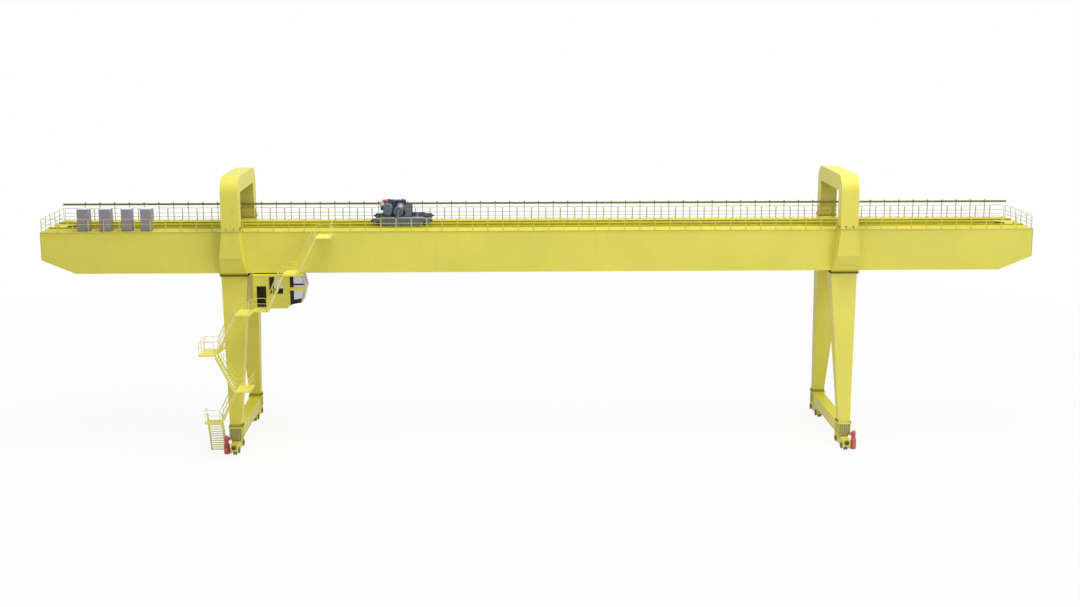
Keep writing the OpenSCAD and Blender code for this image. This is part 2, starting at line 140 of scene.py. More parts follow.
def metal(name, col, rough=0.35, grain=(300, 6, 300), var=0.2, metallic=1.0):
    m, nt, shader, tc = new_mat(name)
    brushed = noise(nt, tc, 1.0, 4, 0.6, grain)
    tone = noise(nt, tc, 25)
    feed(nt, shader, {
        "Base Color": ramp(nt, tone, (0.3, scaled(col, 1 - var)), (0.7, scaled(col, 1 + var))),
        "Roughness": ramp(nt, brushed, (0.3, rough * 0.7), (0.7, min(1, rough * 1.4))),
        "Metallic": metallic,
        "Normal": bumps(nt, brushed, 0.08, 0.001)})
    return m


def glass(name, col, alpha):
    m, nt, shader, tc = new_mat(name)
    n = noise(nt, tc, 9, 2)
    feed(nt, shader, {
        "Base Color": ramp(nt, n, (0.3, scaled(col, 0.93)), (0.7, scaled(col, 1.06))),
        "Roughness": ramp(nt, n, (0.3, 0.05), (0.7, 0.12)),
        "Alpha": alpha,
        "Specular IOR Level": 0.8})
    return m


YELLOW = (0.73, 0.665, 0.095)
# key: name, colour, roughness, dirt (a colour, or the amount of the usual one), tone drift, specular,
# depth and scale of the grain, scale of the plate seams
PAINTS = {
    "yellow": ("crane_yellow", YELLOW, 0.42, 0.09, 0.05, 0.35, 0.05, 900, 0.86),
    "yellow2": ("crane_yellow_small", YELLOW, 0.42, 0.09, 0.05, 0.35),
    "guard": ("deck_guard_olive", (0.37, 0.345, 0.045), 0.5, 0.12, 0.05, 0.25, 0.02),
    "cream": ("tread_cream", (0.90, 0.87, 0.46), 0.55, 0.1, 0.04),
    "nosing": ("tread_nosing", (0.84, 0.80, 0.40), 0.5, 0.1, 0.04, 0.25, 0.02),
    # a brighter yellow for the cab's roof: painted light
    "roof": ("cab_roof_yellow", (0.88, 0.85, 0.03), 0.4, 0.1, 0.04),
    # darker olive: painted shade under flanges and on edges, and the plain colour of the end stops' pads
    "edge": ("flange_edge_olive", (0.45, 0.42, 0.08), 0.5, 0.2),
    "beam_end": ("beam_end_shade", (0.40, 0.37, 0.12), 0.6, (0.14, 0.13, 0.05), 0.07, 0.2),
    "beam_rib": ("beam_end_rib", (0.58, 0.53, 0.30), 0.5, (0.2, 0.17, 0.09), 0.07, 0.3),
    "deck": ("deck_plate_yellow", (0.64, 0.585, 0.045), 0.55, 0.15, 0.07, 0.15, 0.25, 240),
    # a brighter yellow for the bottom beams' tops: painted light
    "beam_top": ("beam_top_yellow", (0.88, 0.83, 0.05), 0.5, 0.1, 0.04, 0.3),
    # painted shade for the arches' inner faces
    "lining": ("arch_lining", (0.50, 0.465, 0.10), 0.5, 0.1, 0.05, 0.25),
    # painted shade for the faces in the gap between the girders
    "inner": ("inner_web_yellow", (0.47, 0.43, 0.012), 0.55, (0.25, 0.22, 0.02), 0.07, 0.12),
    # near black: painted shade in deep gaps
    "shade": ("joint_shade", (0.018, 0.017, 0.008), 0.8, (0.03, 0.03, 0.02), 0.2, 0.15),
    "pale": ("guard_yellow", (0.78, 0.72, 0.17), 0.4, 0.12, 0.04, 0.5, 0.02),
    "front_pale": ("front_guard_yellow", (0.64, 0.60, 0.16), 0.5, 0.1, 0.04, 0.25, 0.02),
    "tread": ("tread_yellow", (0.84, 0.80, 0.13), 0.5, 0.2, 0.07, 0.5, 0.35, 260),
    "slate": ("trolley_slate", (0.086, 0.118, 0.165), 0.45, (0.07, 0.07, 0.06), 0.08),
    # a lighter slate: painted highlight on the trolley
    "slate_light": ("trolley_light", (0.22, 0.25, 0.31), 0.42, (0.15, 0.15, 0.14), 0.06),
    "navy": ("reducer_navy", (0.024, 0.044, 0.078), 0.42, (0.02, 0.02, 0.02), 0.12),
    "brake": ("brake_cover", (0.45, 0.39, 0.38), 0.5, (0.2, 0.18, 0.17)),
    "slate_dark": ("trolley_dark", (0.022, 0.032, 0.042), 0.6, (0.02, 0.02, 0.02), 0.12),
    "grey": ("cabinet_grey", (0.262, 0.262, 0.287), 0.45, (0.14, 0.14, 0.13), 0.04, 0.5, 0.12),
    "grey_light": ("cabinet_top", (0.75, 0.75, 0.76), 0.5, (0.5, 0.5, 0.47), 0.03),
    "red": ("motor_red", (0.63, 0.105, 0.11), 0.38, (0.2, 0.03, 0.03)),
    "brake_red": ("brake_red", (0.42, 0.11, 0.13), 0.5, (0.15, 0.05, 0.05), 0.1),
    # also the coupling of the left travel motors, as painted shade
    "red_dark": ("motor_red_dark", (0.38, 0.055, 0.06), 0.45, (0.1, 0.02, 0.02), 0.1),
    "olive": ("cable_rail_olive", (0.23, 0.21, 0.055), 0.55, (0.1, 0.09, 0.035), 0.12, 0.2),
    "post": ("cable_post_olive", (0.27, 0.25, 0.04), 0.55, (0.12, 0.11, 0.05), 0.1, 0.2),
    # dark olive: painted shade in joints and recesses
    "olive_dark": ("joint_olive", (0.13, 0.12, 0.018), 0.6, (0.07, 0.065, 0.02), 0.12, 0.12),
    # dark olive for gussets: painted shade
    "gusset": ("gusset_olive", (0.23, 0.21, 0.03), 0.55, (0.12, 0.11, 0.03), 0.1, 0.15),
    # a paler olive: painted shade in joints and round the feet
    "olive_mid": ("joint_olive_upper", (0.38, 0.35, 0.05), 0.55, (0.18, 0.16, 0.04), 0.08, 0.2),
    "rail_paint": ("rail_olive_yellow", (0.48, 0.44, 0.02), 0.55, (0.15, 0.13, 0.03), 0.12, 0.12),
    # dark olive for the rear rail's web: painted shade
    "rail_rear": ("rail_web_olive", (0.26, 0.235, 0.02), 0.55, (0.12, 0.1, 0.03), 0.1, 0.2),
    # a dim olive grey for the cab's entry: painted light inside it
    "entry": ("entry_lining", (0.27, 0.26, 0.15), 0.7, (0.05, 0.05, 0.03), 0.12, 0.12),
    "black": ("window_black", (0.028, 0.025, 0.028), 0.75, (0.05, 0.05, 0.05), 0.15, 0.12, 0.03),
    "rubber": ("buffer_rubber", (0.062, 0.06, 0.052), 0.8, (0.09, 0.085, 0.07), 0.2, 0.2, 0.2),
    # opaque lavender grey for the cab's panes: painted reflection of glass
    "glass_edge": ("cab_pane_edge", (0.44, 0.41, 0.44), 0.35, (0.3, 0.28, 0.3), 0.04, 0.2, 0.0),
}
M = SimpleNamespace(**{key: paint(*row) for key, row in PAINTS.items()})
M.rail = metal("rail_steel", (0.56, 0.51, 0.05), 0.5, (4, 300, 300), 0.12, 0.2)
M.steel = metal("bright_steel", (0.62, 0.62, 0.63), 0.28)
M.drum = metal("drum_steel", (0.24, 0.21, 0.22), 0.45, (60, 60, 60), 0.2, 0.85)
M.iron = metal("wheel_iron", (0.16, 0.155, 0.15), 0.5, (60, 60, 60), 0.25, 0.8)
M.bolt = metal("dark_bolts", (0.10, 0.10, 0.095), 0.45, (60, 60, 60), 0.2, 0.7)
M.rope = metal("rope_steel", (0.25, 0.25, 0.26), 0.5, (90, 90, 900), 0.3)
M.glass = glass("cab_glass", (0.76, 0.72, 0.82), 0.88)


# ---- mesh code

def new_object(name, data):
    o = bpy.data.objects.new(name, data)
    bpy.context.scene.collection.objects.link(o)
    return o


def circle(r, n, phase=0.0):
    """n points on a circle round (0, 0)."""
    return [(r * cos(tau * (i + phase) / n), r * sin(tau * (i + phase) / n)) for i in range(n)]


def axes_round(d):
    """Two unit vectors square to the unit vector d and to each other."""
    u = d.cross(UP if abs(d.z) < 0.9 else Vector(X)).normalized()
    return u, u.cross(d).normalized()


class Piece:
    """Collects many small shapes into one mesh, in millimetres from the point (x, 0, z)."""

    def __init__(self, name, x=0.0, z=0.0):
        self.name, self.x, self.z = name, x, z
        self.verts, self.faces, self.face_mats, self.mats = [], [], [], []

    def add(self, verts, faces, mat):
        k = len(self.verts)
        if mat not in self.mats:
            self.mats.append(mat)
        self.verts += [(p[0] + self.x, p[1], p[2] + self.z) for p in verts]
        self.faces += [[i + k for i in f] for f in faces]
        self.face_mats += [self.mats.index(mat)] * len(faces)

    def box(self, p, q, mat, c=0.0):
        """A box between two opposite corners, with its edges chamfered by c."""
        ends = [sorted(e) for e in zip(p, q)]
        if c <= 0:
            (x0, x1), (y0, y1), (z0, z1) = ends
            self.prism(2, z0, z1, [(x0, y0), (x1, y0), (x1, y1), (x0, y1)], mat)
            return
        corners = list(product((0, 1), repeat=3))
        # each corner has three vertices, one on each of its faces
        v = [[ends[b][k[b]] - (0 if b == a else (2 * k[b] - 1) * c) for b in range(3)]
             for k in corners for a in range(3)]
        f, steps = [], (12, 6, 3)    # from a vertex to its like across the box
        for a in range(3):
            b, d = (a + 1) % 3, (a + 2) % 3
            across = steps[a]
            face = [a, a + steps[b], a + steps[b] + steps[d], a + steps[d]]
            f += [face[::-1], [i + across for i in face]]
            for i, j in product((0, steps[b]), (0, steps[d])):
                k = i + j
                loop = [k + b, k + d, k + d + across, k + b + across]
                f.append(loop if bool(i) == bool(j) else loop[::-1])
        for i, k in enumerate(corners):
            loop = [3 * i, 3 * i + 1, 3 * i + 2]
            f.append(loop if sum(k) % 2 else loop[::-1])
        self.add(v, f, mat)

    def prism(self, axis, a0, a1, pts, mat):
        """pts are the other two coordinates in X, Y, Z order."""
        n = len(pts)
        area = sum(pts[i - 1][0] * pts[i][1] - pts[i][0] * pts[i - 1][1] for i in range(n))
        if (area < 0) != (axis == 1):
            pts = pts[::-1]
        self.loft([[(*p[:axis], a, *p[axis:]) for p in pts] for a in sorted((a0, a1))], mat)

    def loft(self, rings, mat, closed=False, flip=False):
        """Joins rings of equal length into one solid, capped at both ends or closed into a loop."""
        m, n = len(rings), len(rings[0])
        f = []
        for k in range(m if closed else m - 1):
            r0, r1 = k * n, (k + 1) % m * n
            for i in range(n):
                j = (i + 1) % n
                f.append((r0 + i, r1 + i, r1 + j, r0 + j) if flip else (r0 + i, r0 + j, r1 + j, r1 + i))
        if not closed:
            first, last = list(range(n)), list(range((m - 1) * n, m * n))
            f += [first, last[::-1]] if flip else [first[::-1], last]
        self.add([p for ring in rings for p in ring], f, mat)

    def lathe(self, origin, d, profile, mat, n=32):
        """profile is a list of (radius, distance along d)."""
        o, d = Vector(origin), Vector(d).normalized()
        u, w = axes_round(d)
        self.loft([[o + d * h + u * a + w * b for a, b in circle(r, n)] for r, h in profile], mat, flip=True)

    def cyl(self, p0, p1, r, mat, n=24, c=0.0):
        p0, p1 = Vector(p0), Vector(p1)
        h = (p1 - p0).length
        profile = [(r, 0), (r, h)] if c <= 0 else [(r - c, 0), (r, c), (r, h - c), (r - c, h)]
        self.lathe(p0, p1 - p0, profile, mat, n)

    def tube(self, path, r, mat, n=8, closed=False):
        """r is one radius or a list with one for each point of the path."""
        pts = [Vector(p) for p in path]
        m = len(pts)
        radii = r if isinstance(r, list) else [r] * m
        rings, u = [], None
        for i, p in enumerate(pts):
            d0 = (p - pts[i - 1]).normalized() if i or closed else None
            d1 = (pts[(i + 1) % m] - p).normalized() if i < m - 1 or closed else None
            d = ((d0 or d1) + (d1 or d0)).normalized()
            if u is None:
                u, w = axes_round(d)
            else:
                u = (u - d * u.dot(d)).normalized()
                w = u.cross(d).normalized()
            # the mitre at a bend keeps the tube's width
            side = (d1 - d0 if d0 and d1 else Vector()).normalized()
            k = 1 / max(0.5, d.dot(d1 or d)) - 1
            ring = [u * a + w * b for a, b in circle(radii[i], n)]
            rings.append([p + o + side * o.dot(side) * k for o in ring])
        self.loft(rings, mat, closed)

    def bolt(self, p, d, r, mat):
        p, d = Vector(p), Vector(d).normalized()
        self.cyl(p, p + d * r * 0.35, r * 1.35, mat, 12)
        self.cyl(p, p + d * r * 1.25, r, mat, 6)

    def bolt_ring(self, centre, axis, sign, radius, n, r, phase=0.0):
        """Dark bolts in a circle round an axis, with their heads towards its sign."""
        for p in circle(radius, n, phase):
            p = (*p[:axis], 0, *p[axis:])
            d = [sign * (i == axis) for i in range(3)]
            self.bolt(Vector(centre) + Vector(p), d, r, M.bolt)

    def done(self, body, slot, *replaces):
        me = bpy.data.meshes.new(self.name)
        me.from_pydata([(x / 1000, y / 1000 + SHIFT, z / 1000) for x, y, z in self.verts], [], self.faces)
        for m in self.mats:
            me.materials.append(m)
        me.polygons.foreach_set("material_index", self.face_mats)
        me.polygons.foreach_set("use_smooth", [True] * len(self.faces))
        me.update()
        me.set_sharp_from_angle(angle=SMOOTH)
        o = new_object(self.name, me)
        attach(o, body)
        if replaces:
            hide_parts(*replaces)


def fillet(path, r, seg=4):
    """Rounds the inner corners of a polyline."""
    pts = [Vector(p) for p in path]
    out = [pts[0]]
    for a, p, b in zip(pts, pts[1:], pts[2:]):
        d0, d1 = a - p, b - p
        half = d0.angle(d1) / 2
        t = min(r / tan(half), d0.length * 0.45, d1.length * 0.45)
        d0, d1 = d0.normalized(), d1.normalized()
        c = p + (d0 + d1).normalized() * (t * tan(half) / sin(half))
        v0, v1 = p + d0 * t - c, p + d1 * t - c
        total = v0.angle(v1)
        for k in range(seg + 1):
            s = k / seg
            w = (v0 * sin((1 - s) * total) + v1 * sin(s * total)) / sin(total)
            out.append(c + w)
    out.append(pts[-1])
    return out


def fins(x, y, n, r0, r1, w0, w1):
    """Outline of a case with n fins from radius r0 to r1; w0 and w1 are half their width, in pitches."""
    return [(x + r * cos(tau * (i + w) / n), y + r * sin(tau * (i + w) / n))
            for i in range(n) for r, w in ((r0, -w0), (r1, -w1), (r1, w1), (r0, w0))]


# ---- guards

GUARD_HEIGHT = 105
GUARD_BEND = 13          # radius of a hoop's upper corners
GUARD_TUBE = 1.8         # radius of its tube; the rails in it are a little thinner


def hoops(pc, start, d, length, bays, z, rails, mat, gap=2.2):
    """A guard of rounded hoops on foot plates, from start along the unit vector d."""
    d, s0 = Vector(d), Vector((*start, z))
    step = (length - 4) / bays
    top = UP * GUARD_HEIGHT
    plate = d * 3.4 + d.cross(UP) * 4.5
    for i in range(bays):
        a = s0 + d * (2 + i * step + (gap if i else 0.1))
        b = s0 + d * (2 + (i + 1) * step - (gap if i < bays - 1 else 0.1))
        pc.tube(fillet([a, a + top, b + top, b], GUARD_BEND), GUARD_TUBE, mat)
        for k in rails:
            pc.tube([a + UP * k, b + UP * k], GUARD_TUBE * 0.95, mat, 6)
        for p in (a, b):
            pc.box(p - plate, p + plate + UP * 1.6, mat)


def build_guards():
    bays, front, rear = 65, -342, 342
    start, length = 12 - HALF, 2 * HALF - 24
    step = length / bays
    # the front guard leaves one bay open for the stair
    pc = Piece("front_guard_tubes")
    hoops(pc, (start, front), X, 18 * step + 4, 18, DECK, (62,), M.front_pale)
    hoops(pc, (start + 19 * step, front), X, 46 * step, 46, DECK, (62,), M.front_pale)
    pc.done(CRANE, "guard_yellow", "front_guard")
    pc = Piece("rear_guard_tubes")
    hoops(pc, (start, rear), X, length, bays, DECK, (62, 32), M.guard, gap=1.9)
    pc.done(CRANE, "guard_yellow", "rear_guard")
    pc = Piece("end_guard_tubes")
    for x in (5 - HALF, HALF - 5):
        hoops(pc, (x, -336), Y, 672, 5, DECK, (62, 32), M.guard)
    pc.done(CRANE, "guard_yellow", "end_guards")
    # round the stair's landings: where it starts, its direction, its length and number of bays
    pc = Piece("landing_guard_tubes")
    for x, y, z, d, length, n in (
            (-2718, -722.5, 297, X, 120, 1), (-2717.5, -715, 297, Y, 92, 1),
            (-2448, -827.5, 585, X, 117, 1), (-2331.5, -820, 585, Y, 205, 2),
            (-2725, -827.5, 881, X, 126, 1), (-2724.5, -820, 881, Y, 212, 2),
            (-2720, -602.5, 881, X, 120, 1), (-2448, -722.5, 1183, X, 117, 1),
            (-2331.5, -715, 1183, Y, 150, 1), (-2328, -557.5, 1183, X, 112, 1),
            (-2078, -572.5, 1482, X, 112, 1), (-1809, -572.5, 1780, X, 120, 1),
            (-1689.5, -565, 1780, Y, 190, 2)):
        hoops(pc, (x, y), d, length, n, z, (60,), M.pale)
    pc.done(CRANE, "guard_yellow", "landing_guards")


# ---- stair

# start, direction of climb, direction across, run, rise, width, lower end of the side plates
FLIGHTS = [
    ((-2718, -500, 0), (0, -1, 0), X, 120, 297, 120, 8),
    ((-2595, -725, 297), X, Y, 145, 288, 104, -10),
    ((-2450, -830, 585), (-1, 0, 0), Y, 146, 296, 100, -10),
    ((-2596, -725, 881), X, Y, 146, 302, 104, -10),
    ((-2214, -570, 1183), X, Y, 134, 299, 100, -10),
    ((-1964, -575, 1482), X, Y, 153, 298, 100, -10),
]
RISERS = 14              # in each flight
SIDE = 3.0               # thickness of a side plate
BELOW, ABOVE = 32, 8     # how far a side plate reaches below and above the flight's slope


def build_stairs():
    tread = Piece("tread_nosings")
    for number, (start, climb, across, run, rise, width, base) in enumerate(FLIGHTS, 1):
        m = rise / run
        start, climb, across = Vector(start), Vector(climb), Vector(across)

        def at(a, b, z):
            return start + climb * a + across * b + UP * z
        foot, head = (base - ABOVE) / m, (rise - ABOVE) / m
        edge = [(max(0, base / m), base), ((base + BELOW) / m, base), (run, rise - BELOW), (run, rise),
                (head, rise), (max(0, foot), max(base, ABOVE))]
        lips = (((base + BELOW) / m, base + 0.8, run - 0.5, rise - BELOW + 0.8),
                (max(0.4, foot), max(base, ABOVE) - 0.8, head, rise - 0.8))
        pc = Piece("stair_flight_%d_sides" % number)
        for b0, inside, lip in ((0, SIDE, 5.5), (width - SIDE, width - SIDE, -5.5)):
            pc.loft([[at(a, b, z) for a, z in edge] for b in (b0, b0 + SIDE)], M.pale,
                    flip=climb.cross(across).z < 0)
            # channel lips along both edges of the side plate
            for a0, z0, a1, z1 in lips:
                q0, q1, g = at(a0, inside, z0), at(a1, inside, z1), across * lip
                ring = [q0, q1, q1 + g, q0 + g]
                pc.loft([ring, [p + UP * 1.4 for p in ring]], M.pale, flip=True)

            def rail(r, n, *points):
                """Tube through points above the slope: how far along the flight and how high."""
                path = [at(a, b0 + SIDE / 2, a * m + z) for a, z in points]
                pc.tube(fillet(path, 12), r, M.pale, n)
            low, high, top = 6.0, run - 6.0, 102.0
            rail(2.1, 8, (low, 2), (low, top), (high, top), (high, 2))
            rail(1.7, 6, (low, top / 2), (high, top / 2))
            for t in (0.36, 0.68):
                q = low + (high - low) * t
                rail(1.9, 6, (q, 2), (q, top))
        pc.done(CRANE, "guard_yellow", "stair_flight_%d" % number)
        # front and back edge of each tread
        for i in range(1, RISERS):
            z = i * rise / RISERS
            for a in ((z - 6) / m, (z + 30) / m - 1):
                tread.box(at(a, 4, z - 5.5), at(a + 1, width - 4, z - 2.9), M.nosing)
    tread.done(CRANE, "guard_yellow")


# ---- structure details

def spans(end, gap):
    """The lengths of girder that the leg frames leave free."""
    return (-end, -LEG - gap), (gap - LEG, LEG - gap), (LEG + gap, end)


def build_girders():
    soffit, taper, tip = 1460, 3781, 1572    # underside, where it starts to rise, its height at the ends
    g = Piece("girder_flanges")
    for sy in BOTH:
        def strip(x0, x1, ya, yb, z0, z1, mat):
            g.box((x0, sy * ya, z0), (x1, sy * yb, z1), mat)
        for x0, x1 in spans(HALF, 80):
            # dark strip under the top flange: painted shadow of its overhang
            strip(x0, x1, 355.5, 361, DECK - 3.5, DECK - 0.5, M.edge)
        for x0, x1 in spans(taper, 115):
            strip(x0, x1, 355.5, 360, soffit, soffit + 3, M.yellow2)
        for s in BOTH:
            g.prism(1, sy * 355.5, sy * 360, [(s * taper, soffit), (s * HALF, tip), (s * HALF, tip + 3),
                                              (s * taper, soffit + 3)], M.yellow2)
            # darker strip at each girder end: painted shade on the end edge
            strip(s * HALF, s * (HALF - 3), 355.5, 359, tip, DECK, M.edge)
        # darker panel on each girder's inner face: painted shade of the gap between the girders
        strip(60 - HALF, HALF - 60, 86.6, 88.4, 1640, DECK - 4, M.inner)
        # walkway plates of the deck, each about two metres of the real crane
        for x0, x1 in spans(HALF - 12, 82):
            n = round((x1 - x0) / 200)
            w = (x1 - x0) / n
            for i in range(n):
                strip(x0 + i * w, x0 + (i + 1) * w - 0.8, 166, 326, DECK, DECK + 0.7, M.deck)
        # the rear girder's deck strip by the gap takes the same darker paint: painted shade
        strip(80 - HALF, HALF - 180, 92, 138, DECK, DECK + 0.7, M.deck if sy < 0 else M.inner)
    # dark sheets in the recess between the girders' ends: painted shade
    corners = ((176, 87), (121, 35.5), (121, -35.5), (176, -87))
    for s in BOTH:
        for (xa, ya), (xb, yb) in zip(corners, corners[1:]):
            xa, xb = HALF - xa, HALF - xb
            g.prism(2, DECK - 178, DECK - 4,
                    [(s * xa, ya), (s * xb, yb), (s * (xb - 1.2), yb), (s * (xa - 1.2), ya)], M.olive_dark)
    g.done(CRANE, "crane_yellow")


def build_joints():
    under, over = ARCH_FOOT - 5.5, ARCH_FOOT + 6    # the arch's base joint
    dark, mid = M.olive_dark, M.olive_mid
    d = Piece("joint_plates_and_bolts")
    for sx, sy in product(BOTH, BOTH):
        d.x = sx * LEG

        def plate(x, ya, yb, z0, z1, mat, c=0.4):
            d.box((-x, sy * ya, z0), (x, sy * yb, z1), mat, c)
        # plate under the arch's base flange, with bolts and small gussets round it; the plate, the strips at
        # its inner lip and the gussets are darkened as painted shade, darkest under the lip
        plate(79, 361.5, 486, under, ARCH_FOOT - 0.3, M.edge, 1)
        plate(75, 347.2, 352, ARCH_FOOT, over, mid, 0.5)
        plate(75, 347.2, 352, under, ARCH_FOOT - 0.3, dark, 0.5)
        for i in range(9):
            d.bolt((i * 18 - 72, sy * 482.6, over), UP, 2.2, M.bolt)
        for i, s in product(range(6), BOTH):
            d.bolt((s * 75.2, sy * (370 + i * 19), over), UP, 2.0, M.bolt)
        # the outer gussets are darker on the right arch than on the left: painted shade
        for x in (-30, 30):
            d.prism(0, x - 3, x + 3, [(sy * 470.6, over), (sy * 481, over), (sy * 469.4, over + 20)],
                    dark if sx > 0 else mid)
            d.prism(0, x - 3, x + 3, [(sy * 350.8, over), (sy * 346.8, over), (sy * 350.8, over + 20)], dark)
        for y, s in product((395, 445), BOTH):
            d.prism(1, sy * y - 2, sy * y + 2, [(s * 71, over), (s * 78.5, over), (s * 71, over + 24)],
                    M.gusset)
        # darker sheet on the arch's inner faces: painted shade
        d.prism(0, -70, 70, [(sy * 350.8, over), (sy * 349.6, over), (sy * 337, DECK + 321),
                             (sy * 338.2, DECK + 321)], M.lining)
        # leg head flange bolts
        for i in range(7):
            d.bolt((i * 35 - 105, sy * 359.5, LEG_HEAD), -UP, 2.6, dark)
        for i, s in product(range(5), BOTH):
            d.bolt((s * 110, sy * (180 + i * 38), LEG_HEAD), -UP, 2.4, dark)
        # band round the leg head, darkened as painted shade of the recess under the girder, black on the side
        # towards the portal's inside
        plate(115, 365.5, 367, 1434.3, 1447, dark)
        plate(115, 365.5, 367, 1447, 1459.7, mid)
        plate(116.5, 364.7, 367.8, 1433.2, 1437, dark)
        for s in BOTH:
            d.box((s * 113.5, sy * 156, 1434.3), (s * 115, sy * 366, 1459.7),
                  M.shade if s * sx < 0 else dark, 0.4)
            d.box((s * 113.5, sy * 156, 1433.2), (s * 116.5, sy * 366, 1437), dark, 0.4)
        # ribbed end of the bottom beam
        plate(47.5, 558.8, 559.8, 111, 203.5, M.beam_end, 0)
        for i in range(6):
            x = i * 17.2 - 43
            d.box((x - 1.8, sy * 559, 110.5), (x + 1.8, sy * 566, 204), M.beam_rib, 0.4)
        plate(48.5, 558, 566.5, 203.4, 207, M.yellow2, 0.5)
        # top of the bottom beam in a brighter yellow as painted light, and darker bands and gussets round the
        # foot of the leg as painted shade
        if sy > 0:
            d.box((-47.5, 60 - FOOT, 204), (47.5, FOOT - 60, 205), M.beam_top)
            d.prism(0, -48, 48, [(470.6, 214.2), (469.4, 214.2), (463.9, 236), (465.1, 236)], mid)
        elif sx < 0:
            d.prism(0, -48, 48, [(-548, 214.2), (-549.4, 214.2), (-545.7, 236), (-544.3, 236)], mid)
        else:
            for x in (-33, -11, 11, 33):
                d.prism(0, x - 1.8, x + 1.8, [(-547.6, FOOT_TOP), (-556, FOOT_TOP), (-545.6, 231)], mid)
        # side gussets of the foot in dark olive: painted shade
        for s in BOTH:
            for y in (-42, -14, 14, 42):
                y += sy * FOOT
                d.prism(1, y - 1.5, y + 1.5, [(s * 48, FOOT_TOP), (s * 57, FOOT_TOP), (s * 48.6, 240)],
                        M.gusset)
            for y in (-49, -17.64, 17.64, 49):
                d.bolt((s * 53.5, sy * FOOT + y, FOOT_TOP), UP, 2.0, M.steel)
    d.done(CRANE, "crane_yellow")


def build_rails():
    r = Piece("trolley_rail_profiles", 0, DECK)
    end, clips = HALF - 12, 128
    for sy in BOTH:
        y = sy * 150
        r.box((-end, y - 4.6, 8.5), (end, y + 4.6, 13), M.rail, 0.8)
        # the rear rail's web in dark olive, the front one's in rail steel: painted shade
        r.box((-end, y - 2, 2.5), (end, y + 2, 9), M.rail if sy < 0 else M.rail_rear)
        r.box((-end, y - 8, 0), (end, y + 8, 2.6), M.rail_paint)
        for i, s in product(range(clips), BOTH):
            x = 120 - HALF + i * (2 * HALF - 240) / (clips - 1)
            r.box((x - 4, y + s * 9 - 3.5, 0), (x + 4, y + s * 9 + 3.5, 4.4), M.rail_paint)
        # end stops
        for s in BOTH:
            x = s * (HALF - 86)
            r.box((x - 9, y - 12, 0), (x + 9, y + 12, 30), M.yellow2, 1.5)
            r.cyl((x - s * 9, y, 21), (x - s * 13, y, 21), 7, M.edge, 20, 1)
            r.prism(1, y - 3, y + 3, [(x + s * 9, 0), (x + s * 26, 0), (x + s * 9, 26)], M.yellow2)
    r.done(CRANE, "rail_steel", "trolley_rails", "trolley_end_stops")

    c = Piece("cable_rail_and_posts", 0, DECK)
    end, posts = HALF - 3, 64
    c.box((-end, 331.5, 131), (end, 338.5, 145), M.olive, 1)
    for z in (130, 143.5):
        c.box((-end, 330.2, z), (end, 339.8, z + 2.5), M.olive)
    for i in range(1, posts):
        x = 65 - HALF + i * (2 * HALF - 130) / posts
        if abs(abs(x) - LEG) < 72:    # an arch stands here
            continue
        c.box((x - 2.4, 332.6, 0), (x + 2.4, 337.4, 130), M.post)
        c.box((x - 6, 329.5, 0), (x + 6, 340.5, 2), M.post)
        c.prism(1, 331, 339, [(x - 7, 146), (x + 7, 146), (x + 3, 156), (x - 3, 156)], M.post)
    c.done(CRANE, "rail_steel", "cable_rail")


# ---- trolley

def build_trolley_frame():
    slate, dark, light = M.slate, M.slate_dark, M.slate_light
    f = Piece("trolley_frame_details", TX, DECK)
    y0, y1 = 133.5, 166.5    # the side beams' flanges
    for sy in BOTH:
        # the front beam's flanges in lit slate, the rear's in plain slate: painted highlight
        top = light if sy < 0 else slate
        f.box((-176, sy * y0, 82.5), (176, sy * y1, 86), top, 0.6)
        f.box((-149, sy * y0, 17.5), (149, sy * y1, 21), slate, 0.6)
        for i, y in product(range(7), (164.8, 133.6)):
            x = i * 42 - 126
            f.box((x - 1.2, sy * y, 21), (x + 1.2, sy * (y + 1.6), 82.5), slate)
        for s in BOTH:
            f.box((s * 175.5, sy * y0, 74.5), (s * 236, sy * y1, 77.5), top, 0.6)
    for s, sy in product(BOTH, BOTH):
        f.box((s * 234.5, sy * y0, 32), (s * 237.5, sy * y1, 77), slate, 0.6)
        f.loft([[(s * x, sy * y, z) for y, z in ((141, 76), (159, 76), (159, z1), (141, z1))]
                for x, z1 in ((174.5, 83), (190, 78))][::s * sy], slate)
        for y, t in ((164.6, 1.4), (134.2, 0.9)):
            f.box((s * 153, sy * y, 31), (s * 234, sy * (y + t), 34.5), slate)
        # pointed buffer stub
        f.lathe((s * 234, sy * 150, 58), (s, 0, 0),
                [(12, 0), (12, 3), (8.2, 4), (8.2, 14), (6.4, 19.5), (0.5, 21.5)], dark, 24)
        # axle cover with bolts, outside and inside the beam
        for side, y in ((1, 165), (-1, 135)):
            f.lathe((s * 191, sy * y, 38.3), (0, sy * side, 0),
                    [(17, 0), (17, 1.6), (12, 2.2), (12, 3.4), (0.5, 3.6)], dark, 28)
            f.bolt_ring((s * 191, sy * (y + side * 1.8), 38.3), 1, sy * side, 14.4, 6, 1.0, 0.5)
        # rail sweep, and a bearing boss over the axle's inner end, in lit slate as painted highlight
        f.box((s * 229, sy * 146, 16), (s * 232, sy * 154, 33), M.rubber)
        f.cyl((s * 184, sy * 135, 62), (s * 184, sy * 131, 62), 6.5, light, 24, 0.8)
    # edges of the two cross beams
    for x, z in product((-140, 110), (42, 81.5)):
        f.box((x - 1.5, -135, z), (x + 25.5, 135, z + 3), dark, 0.6)
    # drag chain arm along the rear beam
    f.box((-225, 166, 60), (-60, 170, 70), dark, 0.8)
    f.done("trolley", "trolley_slate")


